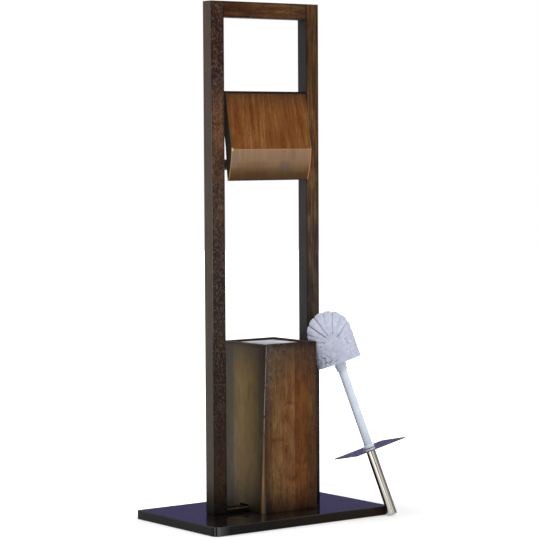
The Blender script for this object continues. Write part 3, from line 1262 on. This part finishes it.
lay_out = Matrix.Rotation(math.pi / 2, 4, "Y") @ Matrix.Rotation(math.pi / 2, 4, "Z")
for row in range(SIDE_ROWS):
    up = Matrix.Translation((0, 0, DOME_MIDDLE - FIRST_ROW - row * ROW_HEIGHT))
    for column in range(SIDE_COLUMNS):
        around = 2 * math.pi * (column + 0.5 * (row % 2)) / SIDE_COLUMNS
        worn = row > 0 and WORN_SIDE[0] < around < WORN_SIDE[1]
        size = chance.uniform(*WORN_SIZE) if worn else FULL_SIZE
        matrix = up @ Matrix.Rotation(around, 4, "Z") @ lay_out @ Matrix.Diagonal((size, size, 1, 1))
        for point in tuft_at(side_tuft, matrix, SIDE_STRAY).data.vertices:
            point.co.z = max(point.co.z, HEAD_FLAT + ROOM + chance.random() * BEND_ROOM)
for spare in (bristle, dome_tuft, side_tuft, fan):
    bpy.data.objects.remove(spare, do_unlink=True)
print(f"{len(tufts)} tufts in all")

# %% Join the head
BACKING_INSIDE, BACKING_OUTSIDE = 0.0063, 0.0083

backing = turn_up("backing", [
    (BACKING_INSIDE, HEAD_FLAT + ROOM), (BACKING_OUTSIDE, HEAD_FLAT + ROOM), (BACKING_OUTSIDE, DOME_MIDDLE)]
    + quarter((0, DOME_MIDDLE), BACKING_OUTSIDE, 15, 75, 5), 32)
bore(backing, "Z", (0, 0), BACKING_INSIDE, HEAD_FLAT - OVERRUN, DOME_MIDDLE + 0.002)
bristles = joined("brush_bristles_dressed", [backing, *tufts])
place(bristles, BRUSH)
print(f"the head has {len(bristles.data.polygons)} faces")

# %% Bend the bristles back
box_face, box_top, post_front = front_high.x + BEND_ROOM, front_high.z + BEND_ROOM, FLAP_FRONT - BEND_ROOM
bent = 0
for point in bristles.data.vertices:
    spot = point.co
    into_box, below_top = box_face - spot.x, box_top - spot.z
    if into_box > 0 and below_top > 0:
        bent += 1
        if into_box < below_top:
            spot.x = box_face + chance.random() * BEND_ROOM
        else:
            spot.z = box_top + chance.random() * BEND_ROOM
    if spot.y > post_front:
        bent += 1
        spot.y = post_front - chance.random() * BEND_ROOM
print(f"{bent} points bent back")

# %% Finish of the bristles
bristle_white = cloudy(
    "white bristle", {"IOR": 1.5, "Specular IOR Level": 0.3}, (180.0, 180.0, 180.0),
    [(197, 202, 219), (209, 213, 229), (220, 224, 239)], 0.2, 0.45, 4.0, 0.65)
settle(bristles, bristle_white, "brush", "white_bristle", "brush_bristles")

# %% [markdown]
# ## Small parts that keep their measured shape
# Dowels, screws, pins, the blocks in the box's corners and the pads are right as they are, so they only get a
# finish: bare beech, steel or soft dark rubber.

# %% Finishes of the small parts
bare_wood = cloudy(
    "bare beech", {"IOR": 1.5}, (300.0, 300.0, 30.0), [(180, 142, 104), (212, 178, 138)], 0.2, 0.6)
rubber = cloudy(
    "pad rubber", {"IOR": 1.5}, (400.0, 400.0, 400.0), [(34, 34, 36), (58, 58, 60)], 0.2, 0.7, 4.0, 0.55)
refinish(bare_wood, "dowel", "block")
refinish(rubber, "pad")
refinish(steel, "screw", "pin", "stud")
refinish(stem_plastic, "insert")

# %% [markdown]
# ## Camera
# The camera stands where the photographer stood: far off and level with the flap's foot, with a long lens. Its
# numbers come from measuring the stand's edges, and its three axes are built from the angles.

# %% Camera
YAW, PITCH, ROLL = math.radians(36.7015), math.radians(3.2321), math.radians(-0.3059)
STANDPOINT = (-2.13288, -2.88084, 0.59858)
LENS, SENSOR = 150.112, 36  # both in millimetres
forward = Vector((math.sin(YAW) * math.cos(PITCH), math.cos(YAW) * math.cos(PITCH), -math.sin(PITCH)))
level = Vector((math.cos(YAW), -math.sin(YAW), 0))
upward = level.cross(forward)
right = level * math.cos(ROLL) + upward * math.sin(ROLL)
up = upward * math.cos(ROLL) - level * math.sin(ROLL)
lens = bpy.data.cameras.new("camera")
lens.lens, lens.sensor_width = LENS, SENSOR
camera = bpy.data.objects.new("camera", lens)
bpy.context.scene.collection.objects.link(camera)
camera.matrix_world = Matrix.Translation(STANDPOINT) @ Matrix((right, up, -forward)).transposed().to_4x4()
bpy.context.scene.camera = camera
print(f"the camera stands {Vector(STANDPOINT).length:.2f} m away, with a lens of {LENS:.0f} mm")

# %% [markdown]
# ## Floor, room and lamps
# A pale floor takes the soft shadow. The world is white where the camera, a mirror or a glass looks at it, and
# lights the stand evenly. The lacquer of the base board mirrors what is low in the room, which was a dim violet
# wall, so a low ring of that colour stands far round the stand, and only mirrored rays see it.

# %% Floor
FLOOR_RADIUS, FLOOR_GLOW = 9.0, 0.30

floor = fresh("floor", bpy.ops.mesh.primitive_circle_add, vertices=96, radius=FLOOR_RADIUS, fill_type="NGON",
              location=(0, 0, floor_height))
paper = Finish("floor paper", {"Roughness": 0.9, "Base Color": grey(0.80), "Specular IOR Level": 0.0,
                               "Emission Strength": 1.0})
x, y, z = paper.at
distance = x * x + y * y + paper.step(y, 0.08, 0.18) * 0.15
paper.feed("Emission Color", paper.seen_rays() * (paper.step(distance, 0.04, 0.24) * 0.8 + FLOOR_GLOW))
floor.data.materials.append(paper.material)
floor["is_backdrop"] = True
print(f"floor at {floor_height:.4f} m")

# %% Mirrored wall
WALL_RADIUS, WALL_HEIGHT = 3.2, 2.4
VIOLET = (0.105, 0.090, 0.205)

wall = fresh("mirrored_wall", bpy.ops.mesh.primitive_cylinder_add, vertices=96, radius=WALL_RADIUS,
             depth=WALL_HEIGHT, end_fill_type="NOTHING", location=(0, 0, WALL_HEIGHT / 2))
mirrored = Finish("mirrored wall", {"Base Color": grey(0.0), "Specular IOR Level": 0.0, "Emission Strength": 1.0})
x, y, z = mirrored.at
mirrored.feed("Emission Color", mirrored.ramp(y.sum("ARCTAN2", y, x) * (0.5 / math.pi) + 0.5, [
    (0.000, grey(0.85)), (0.090, grey(0.85)), (0.108, grey(0.00)), (0.200, grey(0.00)), (0.216, (1.02, 0.99, 0.93)),
    (0.290, (0.98, 0.95, 0.88)), (0.340, grey(0.30)), (0.500, grey(0.26)), (0.570, VIOLET), (0.780, VIOLET),
    (0.830, grey(1.2)), (0.900, grey(1.4)), (0.950, grey(0.85))]))
wall.data.materials.append(mirrored.material)
wall.visible_camera = wall.visible_diffuse = wall.visible_shadow = wall.visible_transmission = False
wall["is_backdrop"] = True
print(f"mirrored wall {WALL_RADIUS} m away")

# %% World and lamps
AMBIENT = 0.55

world = bpy.data.worlds.new("studio")
bpy.context.scene.world = world
world.use_nodes = True
sky = Web(world.node_tree)
background = world.node_tree.nodes["Background"].inputs
sky.join(background["Strength"], sky.node("ShaderNodeMapRange", {}, {"Value": sky.seen_rays(), "To Min": AMBIENT}))
sky.join(background["Color"], grey(1.0))

for name, spot, target, size, power in (("key_box", (-0.8, -3.2, 2.6), (0, 0, 0.4), 1.6, 70),
                                        ("left_box", (-3.0, 1.2, 1.8), (0, 0, 0.4), 1.8, 45),
                                        ("right_box", (2.8, -1.6, 1.5), (0, 0, 0.3), 1.2, 18)):
    light = bpy.data.lights.new(name, "AREA")
    light.energy, light.size = power, size
    holder = bpy.data.objects.new(name, light)
    bpy.context.scene.collection.objects.link(holder)
    holder.location = spot
    holder.rotation_euler = (Vector(spot) - Vector(target)).to_track_quat("Z", "Y").to_euler()
    print(f"{name}: {power} W")
bpy.context.scene.view_settings.view_transform = "Standard"

# %% [markdown]
# ## Last look at the sizes
# The dressed stand has to fill the same box as the measured one, so both boxes are written down side by side.

dressed_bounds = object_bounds()
for label, corners in (("measured", cad_bounds), ("dressed", dressed_bounds)):
    print(label, [round(value, 4) for corner in corners for value in corner])
